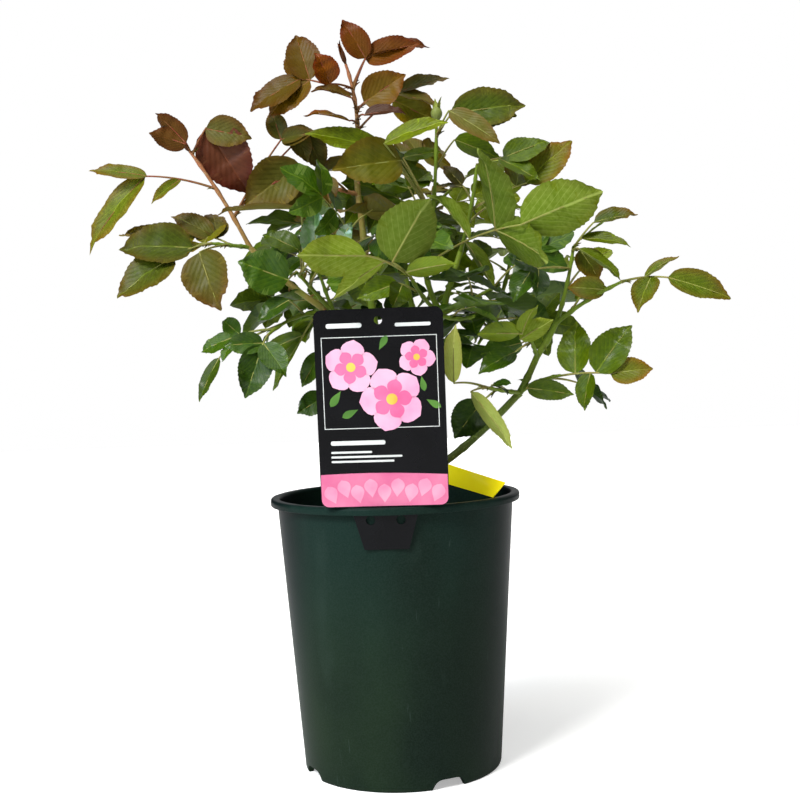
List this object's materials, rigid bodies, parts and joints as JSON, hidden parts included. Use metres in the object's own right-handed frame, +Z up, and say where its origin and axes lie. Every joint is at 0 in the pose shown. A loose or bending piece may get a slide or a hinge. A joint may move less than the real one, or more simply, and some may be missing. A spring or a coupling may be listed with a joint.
{
  "type": "potted rose bush",
  "caption": "Rose bush in a tapered round pot: arching canes with compound leaves and buds, a label card at the front rim and a strip tag on one cane.",
  "frame": {"origin": "on the floor under the middle of the plant, on the pot's axis", "axes": "+Z up along the pot's axis; -Y toward the front, where the label card stands"},
  "size_m": [0.4927, 0.3368, 0.5975],
  "materials": {
    "pot": "satin dark green",
    "compost": "moist and crumbly",
    "label": "glossy printed card",
    "tag": "satin yellow",
    "bark": "rough bark",
    "cane": "smooth green bark",
    "leaf": "satin green",
    "leaf_young": "satin bronze"
  },
  "bodies": {
    "root": {"pot": "pot", "compost": "compost", "label_card": "label", "plant_tag": "tag", "trunk": "bark", "cane_right_1": "cane", "cane_right_2": "cane", "cane_right_3": "cane", "cane_left_1": "cane", "cane_left_2": "cane", "cane_top_1": "cane", "cane_top_2": "cane", "cane_top_3": "cane", "cane_centre_1": "cane", "cane_centre_2": "cane", "cane_middle_1": "cane", "cane_back_1": "cane", "cane_back_2": "cane", "cane_back_right_1": "cane", "cane_back_left_1": "cane", "leaves_left_tip": "leaf_young", "leaves_left_low": "leaf", "leaves_top_tip": "leaf_young", "leaves_upper_left": "leaf", "leaves_centre_top": "leaf_young", "leaves_right_upper": "leaf", "leaves_right_tip": "leaf", "leaves_far_right": "leaf", "leaves_low_right": "leaf", "leaves_right_inner": "leaf", "leaves_front_centre": "leaf", "leaves_card_right": "leaf", "leaves_left_mid": "leaf", "leaves_left_drop": "leaf", "leaves_card_left": "leaf", "leaves_inner_right": "leaf", "leaves_inner_low_right": "leaf", "leaves_inner_top": "leaf", "leaves_inner_front": "leaf", "leaves_inner_middle": "leaf", "leaves_inner_left": "leaf", "leaves_inner_high": "leaf", "leaves_back_high": "leaf", "leaves_back_middle": "leaf", "leaves_back_left": "leaf", "leaves_back_right": "leaf", "leaves_back_low_left": "leaf", "leaves_back_low_right": "leaf"}
  },
  "joints": []
}
